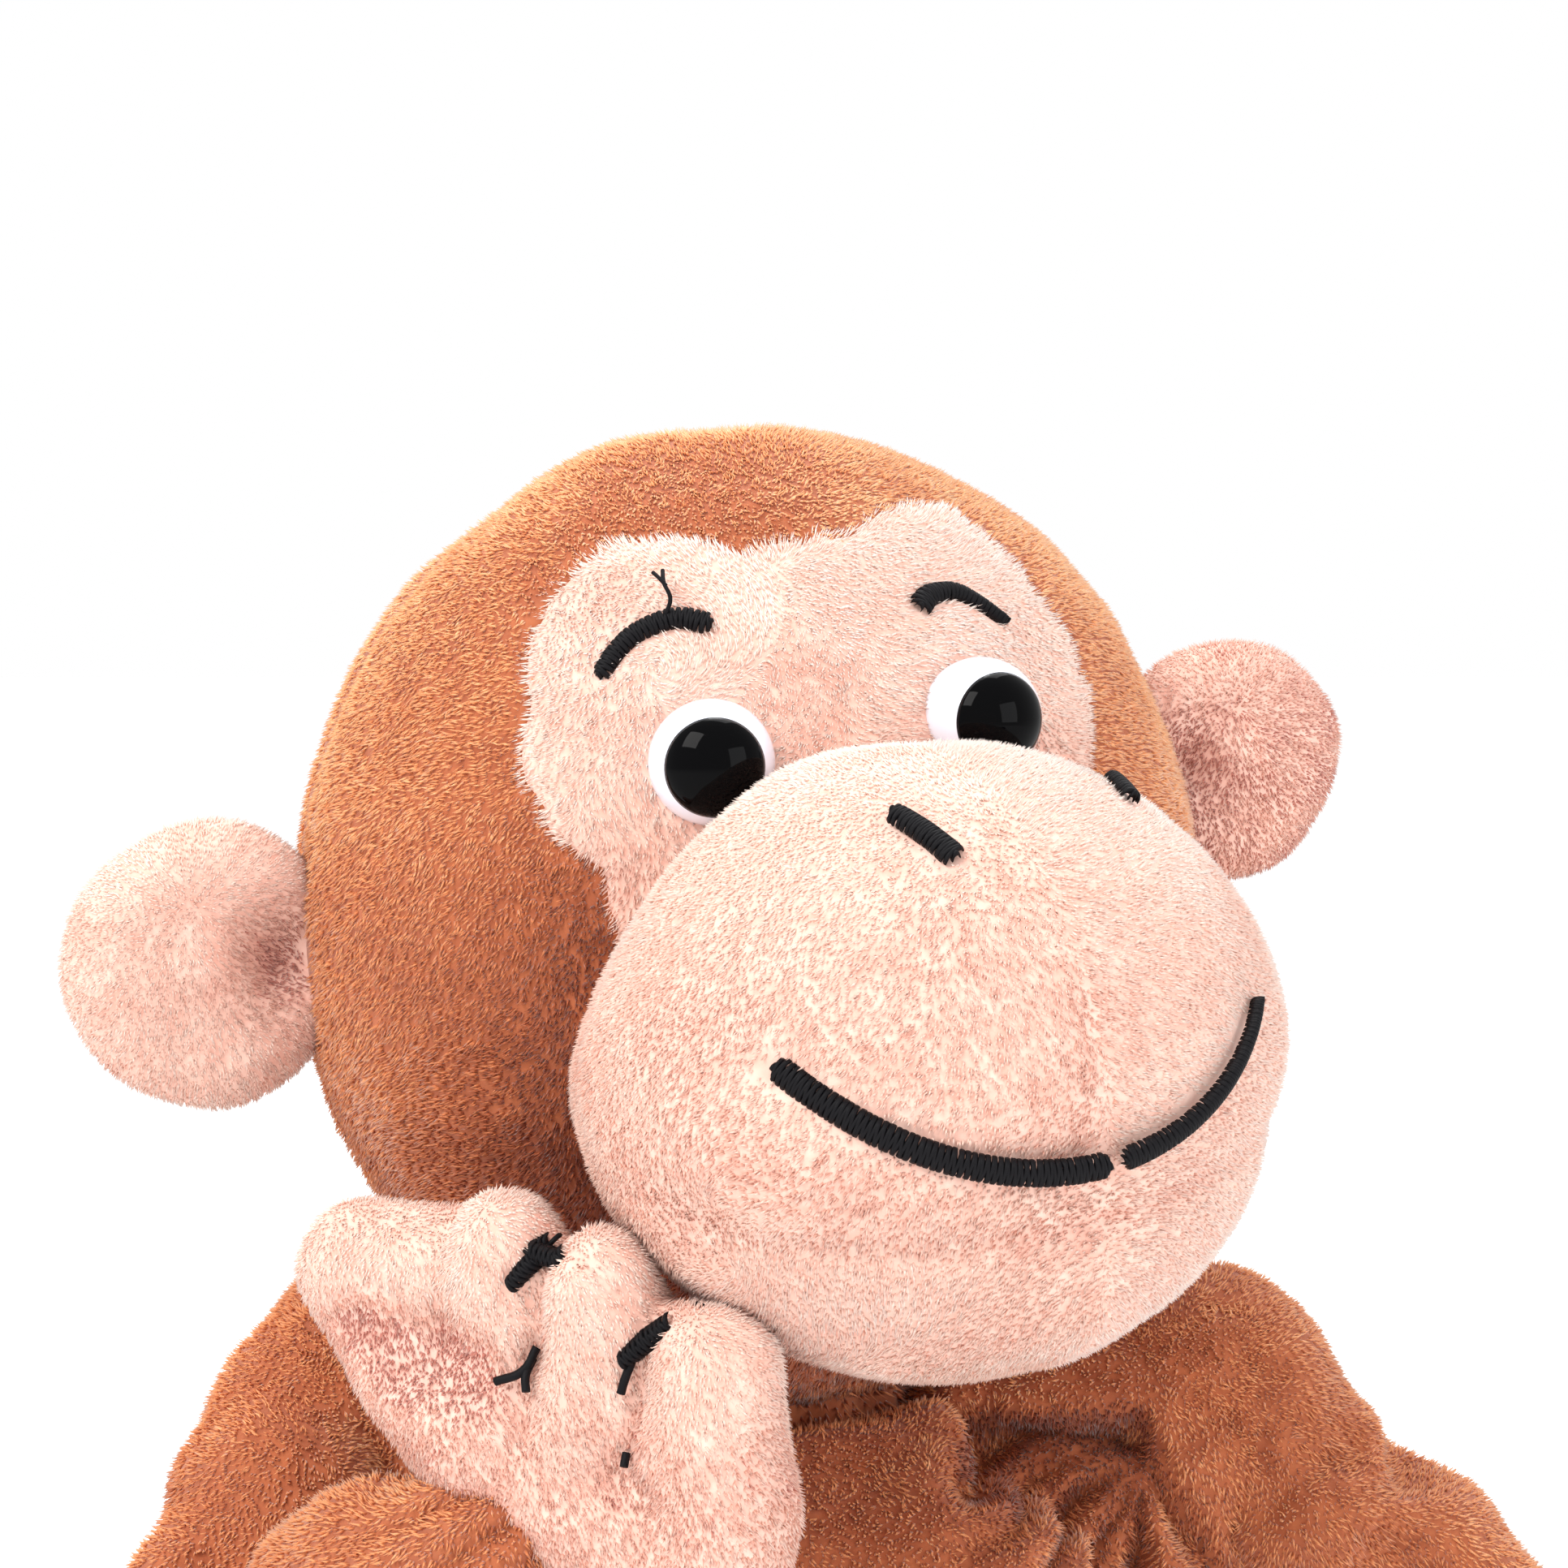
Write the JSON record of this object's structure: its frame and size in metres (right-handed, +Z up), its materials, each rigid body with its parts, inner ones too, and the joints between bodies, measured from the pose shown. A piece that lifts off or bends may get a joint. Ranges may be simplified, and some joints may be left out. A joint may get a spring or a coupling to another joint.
{
  "type": "stuffed monkey",
  "caption": "Seated plush monkey with a large peach muzzle, round ears, glossy eyes and one hand raised to its chin.",
  "frame": {"origin": "middle of the seat's flat underside, on the surface that the toy sits on", "axes": "+Z up, the toy faces -Y, its right side at -X; the head is turned 20 degrees to its left and tilted 7.5 degrees"},
  "size_m": [0.1962, 0.198, 0.2129],
  "materials": {
    "brown_plush": "short-pile plush, chestnut brown, pile about 2 mm",
    "peach_plush": "short-pile plush, peach, pile about 2 mm",
    "black_thread": "black embroidery thread in satin stitch",
    "white_plastic": "glossy white moulded dome",
    "black_plastic": "glossy black disc",
    "washer_plastic": "matt natural plastic lock washer",
    "polyester_fibre": "loose white polyester fibre filling",
    "pellets": "cloth pouch of small plastic pellets"
  },
  "bodies": {
    "torso": {"torso_front_panel": "brown_plush", "torso_back_panel": "brown_plush", "seat_panel": "brown_plush", "torso_stuffing": "polyester_fibre", "pellet_bag": "pellets"},
    "neck": {"neck_stuffing": "polyester_fibre"},
    "head": {"head_front_panel": "brown_plush", "head_back_panel": "brown_plush", "head_stuffing": "polyester_fibre", "face_mask": "peach_plush", "muzzle_right_panel": "peach_plush", "muzzle_left_panel": "peach_plush", "chin_panel": "peach_plush", "muzzle_stuffing": "polyester_fibre", "eye_right": "white_plastic", "eye_left": "white_plastic", "pupil_right": "black_plastic", "pupil_left": "black_plastic", "eye_washer_right": "washer_plastic", "eye_washer_left": "washer_plastic", "brow_right": "black_thread", "brow_left": "black_thread", "nostril_right": "black_thread", "nostril_left": "black_thread", "mouth_line_right": "black_thread", "mouth_line_left": "black_thread", "ear_right_front": "peach_plush", "ear_right_back": "peach_plush", "ear_left_front": "peach_plush", "ear_left_back": "peach_plush"},
    "upper_arm_right": {"upper_sleeve_right": "brown_plush", "upper_stuffing_right": "polyester_fibre"},
    "forearm_right": {"forearm_sleeve_right": "brown_plush", "forearm_stuffing_right": "polyester_fibre", "hand_back_right": "peach_plush", "hand_palm_right": "peach_plush", "hand_stuffing_right": "polyester_fibre", "finger_stitches_right": "black_thread"},
    "upper_arm_left": {"upper_sleeve_left": "brown_plush", "upper_stuffing_left": "polyester_fibre"},
    "forearm_left": {"forearm_sleeve_left": "brown_plush", "forearm_stuffing_left": "polyester_fibre", "hand_back_left": "peach_plush", "hand_palm_left": "peach_plush", "hand_stuffing_left": "polyester_fibre", "finger_stitches_left": "black_thread"},
    "leg_right": {"leg_sleeve_right": "brown_plush", "leg_stuffing_right": "polyester_fibre", "foot_cover_right": "peach_plush", "foot_sole_right": "peach_plush", "toe_stitches_right": "black_thread"},
    "leg_left": {"leg_sleeve_left": "brown_plush", "leg_stuffing_left": "polyester_fibre", "foot_cover_left": "peach_plush", "foot_sole_left": "peach_plush", "toe_stitches_left": "black_thread"},
    "tail": {"tail_sleeve": "brown_plush", "tail_stuffing": "polyester_fibre"}
  },
  "joints": [
    {"name": "neck_turn", "type": "hinge", "parent": "torso", "child": "neck", "pos_m": [0, 0.002, 0.108], "axis": [0, 0, 1], "range_deg": [0, 25]},
    {"name": "head_nod", "type": "hinge", "parent": "neck", "child": "head", "pos_m": [0, 0.002, 0.108], "axis": [-0.9397, -0.342, 0], "range_deg": [0, 15]},
    {"name": "shoulder_right", "type": "hinge", "parent": "torso", "child": "upper_arm_right", "pos_m": [-0.045, -0.002, 0.103], "axis": [0.7603, 0.6082, -0.2281], "range_deg": [0, 35]},
    {"name": "elbow_right", "type": "hinge", "parent": "upper_arm_right", "child": "forearm_right", "pos_m": [-0.055, -0.034, 0.08], "axis": [0.7249, 0.2381, -0.6464], "range_deg": [0, 35]},
    {"name": "shoulder_left", "type": "hinge", "parent": "torso", "child": "upper_arm_left", "pos_m": [0.05, 0, 0.103], "axis": [-0.9701, -0.2425, 0], "range_deg": [0, 60]},
    {"name": "elbow_left", "type": "hinge", "parent": "upper_arm_left", "child": "forearm_left", "pos_m": [0.082, -0.01, 0.066], "axis": [-1, 0, 0], "range_deg": [0, 70]},
    {"name": "hip_right", "type": "hinge", "parent": "torso", "child": "leg_right", "pos_m": [-0.028, -0.043, 0.016], "axis": [1, 0, 0], "range_deg": [-40, 0]},
    {"name": "hip_left", "type": "hinge", "parent": "torso", "child": "leg_left", "pos_m": [0.028, -0.043, 0.016], "axis": [1, 0, 0], "range_deg": [-40, 0]},
    {"name": "tail_swing", "type": "hinge", "parent": "torso", "child": "tail", "pos_m": [0, 0.039, 0.0065], "axis": [0, 0, 1], "range_deg": [-30, 30]}
  ]
}
